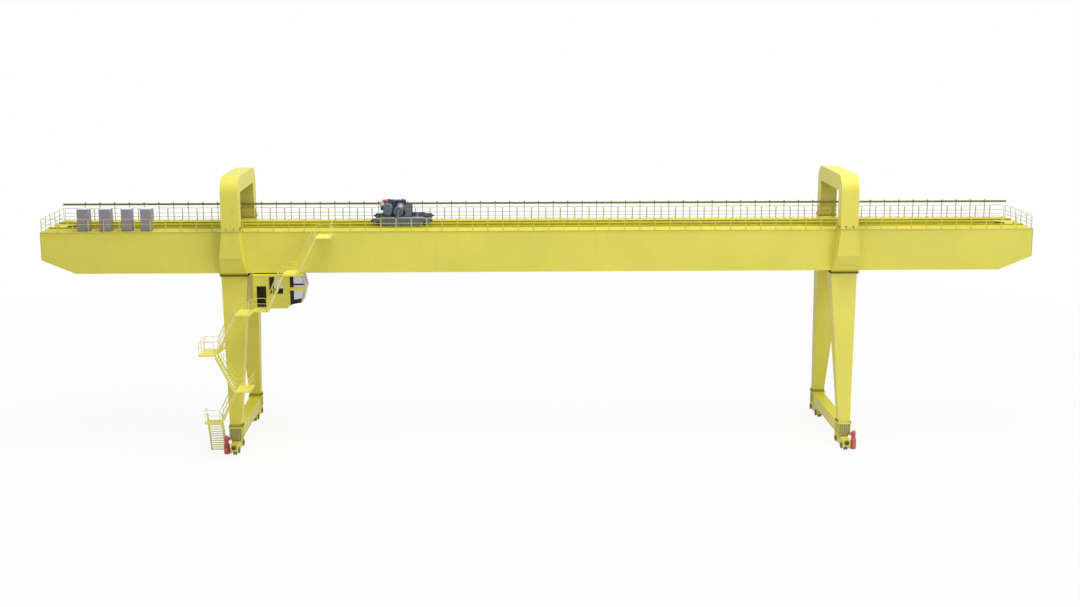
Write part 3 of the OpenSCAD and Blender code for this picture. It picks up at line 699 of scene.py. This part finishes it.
def build_drum():
    d = Piece("hoist_drum_grooved", TX - 28, DECK + 131)
    o = (0, -160, 0)
    d.lathe(o, Y, [(8, 0), (10, 1), (10, 11)], M.steel, 28)
    d.lathe(o, Y, [(13, 6.5), (14, 7.5), (14, 10.4), (25, 10.8), (26, 9.8), (36, 9.8), (38, 10.2),
                   (40.5, 12), (40.5, 20), (39.5, 21), (33, 21)], M.slate, 48)
    d.bolt_ring((0, -150.2, 0), 1, -1, 31, 8, 1.7, 0.5)
    # ribs of the hub
    for a, b in circle(1, 8, 0.5):
        c, side = Vector((a, 0, b)), Vector((-b, 0, a)) * 1.1
        rings = []
        for r, depth in ((13, 1.8), (24.5, 0.54)):
            q, g = c * r + Vector((0, -150.4, 0)), Vector((0, -depth, 0))
            rings.append([q - side, q + side, q + side + g, q - side + g])
        d.loft(rings, M.slate)
    grooves = [(r, y) for k in range(60) for r, y in ((31.6, 22 + k * 4.1), (33.1, 24.05 + k * 4.1))]
    d.lathe(o, Y, [(32, 20.5), *grooves, (31.6, 268.5)], M.drum, 40)
    d.lathe(o, Y, [(33, 267), (41, 268), (42.5, 269.5), (42.5, 275), (41, 276), (12, 276), (12, 279),
                   (10, 280)], M.iron, 48)
    d.done("trolley", "drum_steel", "hoist_drum")


def oval(r, y, n=56):
    """Points round the brake cover's stadium shape."""
    return [(a - 113, y, 150 + copysign(11, b) + b) for a, b in circle(r, n, 0.5)]


def build_machinery():
    slate, dark, navy, iron = M.slate, M.slate_dark, M.navy, M.iron
    m = Piece("hoist_machinery_parts", TX, DECK)
    # bearing stand of the drum
    m.prism(1, -167.5, -161, [(-50, 83), (-6, 83), (-8, 92), (-18, 107), (-20, 131), (-36, 131), (-38, 107),
                              (-48, 92)], slate)
    m.lathe((-28, -168, 131), Y, [(10, 0), (12.5, 1.4), (12.5, 7.8), (10, 8)], slate, 32)
    m.box((-52, -170, 82.8), (-4, -158.5, 86), dark, 0.5)
    # oval brake cover in front of the motor
    m.loft([oval(r, y) for r, y in ((33, -168), (35, -167), (37.5, -161.5), (37.5, -133), (36, -132))], slate)
    m.loft([oval(r, y) for r, y in ((26.5, -169), (27, -168.6), (27, -167.8))], slate)
    m.lathe((-113, -170, 150), Y, [(4, 0), (6, 0.8), (6, 2)], slate, 24)
    for p in oval(30.2, -168, 12):
        m.bolt(p, (0, -1, 0), 1.2, M.bolt)
    # a rim over the cover's upper edge in lit slate: painted highlight
    section = ((38.1, -160.5), (38.1, -140), (37.1, -140), (37.1, -160.5))
    arc = [radians(30 + 5 * i) for i in range(22)]
    m.loft([[(r * cos(t) - 113, y, 161 + r * sin(t)) for r, y in section] for t in arc],
           M.slate_light, flip=True)
    # its pedestal
    m.loft([[(x0, y0, z), (x1, y0, z), (x1, y1, z), (x0, y1, z)] for x0, x1, y0, y1, z in (
        (-142, -82, -161, -135, 83), (-142, -82, -161, -135, 88), (-132, -92, -159, -137, 112),
        (-130, -92, -158, -138, 130))], dark)
    # finned motor on two feet, with its terminal box
    m.prism(1, -128, 30, fins(-110, 150, 36, 27, 30, 0.32, 0.18), navy)
    m.lathe((-110, -132.5, 150), Y, [(28, 0), (29.8, 1), (29.8, 5)], navy, 40)
    m.lathe((-110, 30, 150), Y, [(29.8, 0), (29.8, 5), (24, 10), (16, 11), (16, 15)], navy, 40)
    m.cyl((-110, 34, 150), (-110, 44, 150), 12, iron, 24, 1)
    for p, q, mat, c in (
            ((-130, -70, 174), (-90, -30, 188), navy, 2),
            ((-131, -71, 186.5), (-89, -29, 189), dark, 0.8),
            ((-136, -116, 83), (-124, 24, 128), dark, 1),
            ((-96, -116, 83), (-84, 24, 128), dark, 1),
            # thruster brake: dark base, pale cover, red drum cover with a dark end
            ((-182, -17, 124), (-138, 19, 158), navy, 3),
            ((-188, -20, 156), (-146, 22, 198), M.brake, 6),
            ((-182, -21, 164), (-152, -19.4, 190), M.grey_light, 0.6),
            ((-166, -17, 174), (-118, 26, 213), M.brake_red, 6),
            ((-121, -14, 172), (-109, 24, 218), dark, 3),
            # reducer, and the case that reaches over to the drum
            ((-121, 43, 83), (-71, 131, 88), dark, 1),
            ((-119, 45, 87), (-73, 129, 194), navy, 5),
            ((-120.5, 43.5, 132), (-71.5, 130.5, 138), navy, 1),
            ((-74, 120.5, 83), (23, 141.5, 191), navy, 4),
            ((-75, 119.6, 128), (24, 142.4, 134), navy, 1)):
        m.box(p, q, mat, c)
    m.cyl((-142, -21, 192), (-142, -14, 192), 13, M.red_dark, 28, 1)
    m.cyl((-172, 0, 196), (-172, 0, 202), 6, M.brake, 20, 1)
    # ribs on both cases, bolts and a lifting eye
    for n, x0, y0, y1, z0, z1 in ((5, -115, 47, 127, 192, 203), (11, -70, 121.5, 140.5, 189, 199)):
        for i in range(n):
            x = x0 + i * 8.6
            m.box((x, y0, z0), (x + 4.4, y1, z1), navy, 0.9)
    for i in range(8):
        m.bolt((i * 11 - 62, 119.6, 131), (0, -1, 0), 1.5, M.bolt)
    m.tube([(a - 7, 131, b + 197) for a, b in circle(6, 20)], 2.2, navy, closed=True)
    m.cyl((-7, 131, 184), (-7, 131, 192), 4.5, navy, 16, 0.8)
    m.lathe((-28, 112, 131), Y, [(14, 0), (18, 2), (18, 8.6)], navy, 32)
    m.done("trolley", "trolley_slate", "hoist_machinery")


def build_control_box():
    slate, light, navy = M.slate, M.slate_light, M.navy
    c = Piece("trolley_control_box_doors", TX, DECK)
    for p, q, mat, chamfer in (
            ((28, -151, 82.8), (78, -59, 87), M.slate_dark, 0.6),
            ((29.5, -149.5, 86), (76.5, -62, 172), slate, 1.5),
            ((28.5, -151, 170.5), (77.5, -60, 175), navy, 1),
            ((34, -74, 86), (86, -58.5, 181), navy, 1.5),
            ((32, -150.4, 92), (74, -149, 141), slate, 0.5),
            ((69.5, -152.2, 112), (71.5, -150, 126), M.steel, 0.4),
            ((76.2, -140, 94), (77.4, -76, 140), slate, 0.4)):
        c.box(p, q, mat, chamfer)
    # louvres in lit slate as painted highlight, and hinges
    for i in range(5):
        c.box((33, -151.2, 146 + i * 3.4), (73, -149, 147.8 + i * 3.4), light, 0.3)
    for i in range(4):
        c.box((76.4, -136, 147 + i * 4.2), (77.6, -78, 149 + i * 4.2), light, 0.3)
    for z in (98, 134):
        c.cyl((31.4, -150.6, z), (31.4, -150.6, z + 6), 1.1, M.steel, 10)
    c.done("trolley", "trolley_slate", "trolley_control_box")


def build_hook():
    axle = -85
    h = Piece("hook_block_parts", TX - 28, DECK)
    for sy in BOTH:
        # outer and inner cheek plate
        for y, t, w, z0, z1 in ((26.5, 3.5, 40, -121, -54), (8.5, 2, 32, -112, -62)):
            h.prism(1, sy * y, sy * (y + t), [
                (-w, z0 + 18), (-w * 0.55, z0), (w * 0.55, z0), (w, z0 + 18),
                (w, z1 - 16), (w * 0.6, z1), (-w * 0.6, z1), (-w, z1 - 16)], M.red)
        # sheave and axle cover
        h.lathe((0, sy * 18 - 7, axle), Y, [
            (12, 0), (24, 0.6), (27, 1), (27, 3), (22, 6), (22, 8), (27, 11), (27, 13), (24, 13.4), (12, 14)],
            M.iron, 40)
        h.lathe((0, sy * 30, axle), (0, sy, 0), [(15, 0), (15, 2.4), (12, 3), (9, 3), (9, 7), (7.5, 8)],
                M.steel, 28)
        h.bolt_ring((0, sy * 32, axle), 1, sy, 12.6, 6, 1.2)
        for x in (-34, 34):
            h.cyl((x, sy * 26, -96), (x, sy * 31.5, -96), 3, M.steel, 12, 0.4)
        h.tube([(-2, sy * 6.5, -160), (16, sy * 5.5, -168), (23, sy * 4, -176)], 1.6, M.steel, 6)
        for x in (-24.5, 24.5):
            h.tube([(x, sy * 18, -84), (x, sy * 18, 108)], 1.6, M.rope)
    h.cyl((0, -34, axle), (0, 34, axle), 8, M.steel)
    for x in (-36, 36):
        h.cyl((x, -27, -74), (x, 27, -74), 2.4, M.red, 12)
    h.box((-28, -15, -124), (28, 15, -106), M.red, 3)
    h.lathe((0, 0, -132), UP, [(9, 0), (13, 1), (13, 7), (11, 8.5)], M.iron, 28)
    h.cyl((0, 0, -162), (0, 0, -120), 8.6, M.iron)
    # the hook, which thins towards its point
    pts, radii = [(0, 0, -158)], [8.6]
    for i in range(27):
        t = radians(100 + i * 10)
        pts.append((23.5 * cos(t), 0, 23.5 * sin(t) - 185))
        radii.append(8.6 - 5.4 * max(0, (i - 12) / 14) ** 1.4)
    h.tube(pts, radii, M.iron, 14)
    h.done("trolley", "motor_red", "hook_block")


# ---- cab

def build_cab():
    c = Piece("cab_fittings", -2000, 1000)
    trim, black, pane = M.yellow2, M.black, M.glass_edge

    def plates(mat, sides, *outlines):
        """Flat plates square to Y, on each of the sides (y0, y1)."""
        for (y0, y1), pts in product(sides, outlines):
            c.prism(1, y0, y1, pts, mat)

    def rect(x0, x1, z0, z1):
        return [(x0, z0), (x1, z0), (x1, z1), (x0, z1)]

    # roof plate in a brighter yellow: painted light on its lit top
    plates(M.roof, [(-413.5, -216.5)], [(-346, 446.8), (-346, 451), (-52, 451), (58.5, 456),
                                        (59.5, 451.8), (-52, 446.8)])
    # dark sheet in the gap between the roof and the girder: painted shadow
    c.box((-335, -357.5, 451.5), (38, -355, 459.8), M.shade)
    # door frame, sill and handrails
    for x0, x1, z0, z1 in ((-320, -316, 182, 364), (-239, -235, 182, 364), (-316, -239, 360, 364)):
        c.box((x0, -412.5, z0), (x1, -404.5, z1), trim, 0.5)
    c.box((-320, -415, 182), (-235, -405, 186), trim, 0.5)
    for x in (-324.5, -230.5):
        path = [(x, -409.5, 225), (x, -417, 225), (x, -417, 305), (x, -409.5, 305)]
        c.tube(fillet(path, 4, 3), 1.2, trim)
    # lining of the entry, lighter than black: painted light inside the cab
    for p, q in (((-336.5, -403.5, 181), (-214, -226.5, 182.6)),
                 ((-336.5, -403.5, 438.4), (-214, -226.5, 440.5)),
                 ((-336.5, -228.5, 182), (-214, -226.5, 440)),
                 ((-336.8, -403.5, 182), (-334.5, -226.5, 440)),
                 ((-214, -228.5, 182), (-72, -226.5, 294)),
                 ((-214, -403.5, 181), (-73, -226.5, 182.2)),
                 ((-238, -403.9, 183), (-214, -401.5, 440)),
                 ((-336, -403.9, 362), (-238, -401.5, 440))):
        c.box(p, q, M.entry)
    # side window, a dark L, and the dark bands of the nose windows
    plates(black, [(-409.4, -408.15), (-221.85, -220.6)],
           rect(-212, -172, 297, 436), rect(-172, -102, 297, 341),
           [(-46, 349), (-15, 349), (-15, 437), (-46, 436)],
           [(-15, 367), (68.5, 367), (65, 380), (-15, 380)],
           [(-46, 215), (-15, 221), (-15, 324), (-46, 324)],
           [(-15, 221), (41, 231), (48.5, 258), (-15, 247)])
    # window frames, proud of the side
    plates(trim, [(-412, -409.2), (-220.8, -218)],
           rect(-216, -212, 293, 440), rect(-102, -98, 293, 440),
           rect(-212, -102, 293, 297), rect(-212, -102, 436, 440),
           [(-68, 175), (-64.5, 181), (-49, 446), (-53, 446.5), (-69, 181)],
           [(-46, 324), (66, 324), (74, 349), (-46, 349)])
    # opaque glass edges beside the front panes, coloured as painted reflection
    plates(pane, [(-412.1, -409.1), (-220.9, -217.9)],
           [(50, 440), (73.5, 353), (82, 353), (58, 443)],
           [(41, 231), (65.5, 321), (75, 321), (51, 229)])
    plates(black, [(-411, -409.5), (-220.5, -219)], [(-46, 206), (48, 224), (41.5, 234), (-46, 219)])
    # opaque front panes flush with the nose, coloured as painted reflection, and the posts between them
    plates(pane, [(-406, -317.5), (-312.5, -224)],
           [(80.8, 358), (82.8, 358), (61.4, 440), (59.4, 440)],
           [(53, 238), (55, 238), (82.2, 340), (80.2, 340)])
    plates(trim, [(-317.5, -312.5)],
           [(79, 354), (83, 354), (60, 440), (56, 440)],
           [(49, 236), (52.5, 236), (81.2, 341), (77.7, 341)])
    # wipers
    c.tube([(81.5, -360, 352), (71, -345, 398)], 0.9, black, 6)
    c.tube([(75.5, -352, 380), (65.5, -338, 418)], 0.7, black, 6)
    # driver's seat and desk, seen dimly through the panes
    c.box((-80, -345, 212), (-40, -285, 222), black, 3)
    c.box((-85, -342, 220), (-76, -288, 288), black, 3)
    c.box((-68, -322, 208), (-52, -308, 214), black, 1)
    plates(black, [(-335, -295)], [(10, 222), (28, 226), (34, 262), (10, 268)])
    # hanger brackets and the conduit up to the girder
    for x, y in product((-312, -102), (-332, -232)):
        c.box((x - 13, y - 13, 455.6), (x + 13, y + 13, 459.9), trim, 0.6)
    c.tube([(-130, -296, 450), (-130, -296, 460)], 4, M.rubber, 10)
    # lamp under the nose
    c.lathe((-60, -315, 190), (0.45, 0, -1), [(3, -2), (8, 2), (9, 8), (8.4, 9)], black, 20)
    c.done(CRANE, "crane_yellow")


# ---- running gear

def travel_motor(m, sx, sy):
    """Upright: gearcase, coupling, finned motor with bolts round its foot, fan cover, terminal boxes."""
    x, y = sx * 66, sy * (FOOT + WHEEL)
    for profile, mat, n in (
            ([(10, 8), (18, 8), (22, 10), (25, 15), (25, 56), (24, 58), (24, 60)], M.red, 40),
            # the coupling is in darker red on the left motors: painted shade
            ([(22, 58), (22, 73), (24.6, 75), (24.6, 77.5), (22.5, 78), (22.5, 86), (24.6, 86.5),
              (24.6, 89.5), (18, 96), (17, 98)], M.red if sx > 0 else M.red_dark, 40),
            ([(17.4, 144), (17.4, 151), (16, 155), (12.5, 161.5), (6, 163)], M.red, 36)):
        m.lathe((x, y, 0), UP, profile, mat, n)
    m.prism(2, 97, 146, fins(x, y, 24, 15.2, 17.1, 0.3, 0.2), M.red)
    m.bolt_ring((x, y, 60), 2, 1, 23.4, 8, 1.1)
    m.box((sx * 41.5, y - 10.5, 127), (sx * 54, y + 10.5, 149), M.red_dark, 2)
    m.box((sx * 37, y - 12, 28), (sx * 50, y + 12, 54), M.red_dark, 1.5)
    m.tube([(sx * 43, y, 129), (sx * 40, y, 118), (sx * 39.5, y - sy * 30, 112)], 1.8, M.rubber)


def bogie_fittings(b, sy):
    for s in BOTH:
        for y in (FOOT - WHEEL, FOOT + WHEEL):
            # hub cover
            b.lathe((s * 29.6, sy * y, 40), (s, 0, 0), [
                (27, 0), (27, 5), (24.5, 7.2), (15, 7.9), (15, 8.8), (12, 9.3), (0.5, 9.3)], M.rubber, 36)
            b.bolt_ring((s * 37, sy * y, 40), 0, s, 20, 8, 1.5, 0.5)
        # lips and stiffeners on the sides
        for y0, y1 in ((-158, -140), (-76, -40), (40, 76), (142, 161)):
            b.box((s * 29.8, sy * (FOOT + y0), 27.2), (s * 32, sy * (FOOT + y1), 31), M.yellow2, 0.4)
        for y in (FOOT - 60, FOOT + 60):
            b.box((s * 29.8, sy * y - 1.5, 31), (s * 32, sy * y + 1.5, 97), M.yellow2, 0.4)
    # buffer
    b.lathe((0, sy * 673, 74), (0, sy, 0), [
        (20, 0), (20, 2.5), (17.3, 3), (17.3, 15), (15.5, 17.3), (1, 17.4)], M.rubber, 40)
    b.bolt_ring((0, sy * 673.4, 74), 1, sy, 22, 6, 1.1)


def build_running_gear():
    for sx, name in ((-1, "left"), (1, "right")):
        m = Piece(name + "_motor_casings", sx * LEG)
        b = Piece(name + "_bogie_fittings", sx * LEG)
        for sy in BOTH:
            travel_motor(m, sx, sy)
            bogie_fittings(b, sy)
        m.done(CRANE, "motor_red", name + "_travel_motors")
        b.done(CRANE, "crane_yellow")


# ---- cabinets

def build_cabinets():
    c = Piece("cabinet_bodies", 0, DECK)
    front, back = -325, -240
    for x0, x1 in ((-3757, -3662), (-3580, -3486), (-3402, -3319), (-3247, -3162)):
        half = (x1 - x0) / 2
        c.box((x0 + 2, front + 2, 0), (x1 - 2, back - 2, 8.5), M.grey, 0.6)
        c.box((x0, front, 8), (x1, back, 181), M.grey, 1.5)
        c.box((x0 - 2.4, front - 3, 180), (x1 + 2.4, back + 2.5, 186.5), M.grey_light, 1.4)
        # two doors on each face, with a handle, hinges and louvres
        for (s, y), k in product(((-1, front), (1, back)), (0, 1)):
            a = x0 + 3 + k * (half - 1.2)
            c.box((a, y - s * 0.5, 13), (a + half - 4.2, y + s * 1.5, 176), M.grey, 0.6)
            handle, hinge = (a + 3, a + half - 5.6) if k else (a + half - 8, a + 1.2)
            c.box((handle, y + s, 84), (handle + 2, y + s * 3.4, 100), M.steel, 0.5)
            for z in (28, 92, 156):
                c.cyl((hinge, y + s * 1.8, z), (hinge, y + s * 1.8, z + 7), 1, M.steel, 10)
            for i in range(5):
                z = 20 + i * 3.6
                c.box((a + 8, y + s * 1.2, z), (a + half - 12, y + s * 2.3, z + 1.8), M.grey, 0.3)
        for s, x in ((-1, x0), (1, x1)):
            c.box((x - s * 0.5, -318, 14), (x + s * 1.2, -247, 175), M.grey, 0.5)
        for x, y in product((x0 + 8, x1 - 8), (-318, -247)):
            c.cyl((x, y, 186), (x, y, 189), 2.2, M.steel, 12, 0.4)
        # cable at the back
        mid = x0 + half
        c.tube([(mid, -262, 5), (mid, -231, 5), (mid, -231, 1.6)], 2.4, M.rubber)
    c.done(CRANE, "cabinet_grey", "electrical_cabinets")


# ---- materials on the CAD nodes

def put(mat, *names):
    for n in names:
        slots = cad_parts[n].data.materials
        slots.clear()
        slots.append(mat)


CORNERS = ("front_left", "front_right", "rear_left", "rear_right")
put(M.yellow, "front_girder", "rear_girder", "end_ties", "left_arch", "right_arch", "left_saddles",
    "right_saddles", "left_bottom_beam", "right_bottom_beam", "cab_shell", *[c + "_leg" for c in CORNERS])
put(M.yellow2, *[c + "_bogie" for c in CORNERS])
put(M.cream, "stair_treads")
put(M.tread, "stair_landings")
put(M.grey, "electrical_cabinets")
put(M.glass, "cab_glazing")
put(M.slate, "trolley_frame", "hoist_machinery", "trolley_control_box")
put(M.steel, "hoist_drum")
put(M.red, "left_travel_motors", "right_travel_motors", "hook_block")
put(M.iron, "trolley_wheelset_left", "trolley_wheelset_right",
    *[c + "_wheel_" + wheel for c, wheel in product(CORNERS, "ab")])

build_guards()
build_stairs()
build_girders()
build_joints()
build_rails()
build_trolley_frame()
build_drum()
build_machinery()
build_control_box()
build_hook()
build_cab()
build_running_gear()
build_cabinets()


# ---- stage

def seen_rays(nt):
    """1 for rays from the camera, a reflection or a refraction, 0 for light."""
    path = add_node(nt, "LightPath").outputs
    out = path["Is Camera Ray"]
    for name in ("Is Glossy Ray", "Is Transmission Ray"):
        out = add_node(nt, "Math", {0: out, 1: path[name]}, operation="MAXIMUM").outputs[0]
    return out


def build_floor():
    s = 60.0
    me = bpy.data.meshes.new("floor")
    me.from_pydata([(-s, -s, 0), (s, -s, 0), (s, s, 0), (-s, s, 0)], [], [(0, 1, 2, 3)])
    m, nt, shader, tc = new_mat("floor_white")
    feed(nt, shader, {
        "Base Color": ramp(nt, noise(nt, tc, 0.6, 2), (0.3, 0.74), (0.7, 0.76)),
        "Roughness": 0.95,
        "Specular IOR Level": 0.0})
    # white where it is seen, with a share of plain diffuse near the crane that keeps its shadow
    glow = add_node(nt, "Emission", {"Strength": 1.0})
    far = add_node(nt, "VectorMath", {0: tc}, operation="LENGTH")
    reach = add_node(nt, "MapRange", {"Value": far.outputs["Value"], "From Min": 4.0, "From Max": 9.0,
                                      "To Min": 0.92, "To Max": 1.0})
    share = add_node(nt, "Math", {0: seen_rays(nt), 1: reach.outputs["Result"]}, operation="MULTIPLY")
    both = add_node(nt, "MixShader", {"Fac": share.outputs[0], 1: shader.outputs[0], 2: glow.outputs[0]})
    feed(nt, nt.nodes["Material Output"], {"Surface": both.outputs[0]})
    me.materials.append(m)
    new_object("floor", me)


def build_world():
    """White where it is seen, dimmer as a light."""
    world = bpy.data.worlds.new("studio")
    bpy.context.scene.world = world
    world.use_nodes = True
    nt = world.node_tree
    nt.nodes.clear()
    light, seen = (add_node(nt, "Background", {"Color": (1, 1, 1, 1), "Strength": strength}).outputs[0]
                   for strength in (0.46, 1.0))
    both = add_node(nt, "MixShader", {"Fac": seen_rays(nt), 1: light, 2: seen})
    add_node(nt, "OutputWorld", {"Surface": both.outputs[0]})


def aim(name, data, loc, d):
    """Puts a light or a camera at loc, facing along d."""
    o = new_object(name, data)
    o.location = loc
    o.rotation_euler = Vector(d).to_track_quat("-Z", "Y").to_euler()
    return o


def area(name, loc, target, power, size, size_y=None):
    light = bpy.data.lights.new(name, "AREA")
    light.energy = power
    light.size = size
    if size_y:
        light.shape = "RECTANGLE"
        light.size_y = size_y
    aim(name, light, loc, Vector(target) - Vector(loc))


build_floor()
build_world()
area("top_light", (1.0, -1.5, 9.0), (0, 0, 1.5), 640, 9, 5)
area("front_light", (6.5, -10.0, 4.5), (0, 0, 1.2), 330, 6)
camera = bpy.data.cameras.new("camera")
camera.sensor_width = 36.0
camera.lens = 50.38
camera.clip_end = 200
bpy.context.scene.camera = aim("camera", camera, (-0.3577, -12.5559 + SHIFT, 3.6011),
                               (0.02807, 0.98069, -0.19354))

view = bpy.context.scene.view_settings
view.view_transform = "Standard"
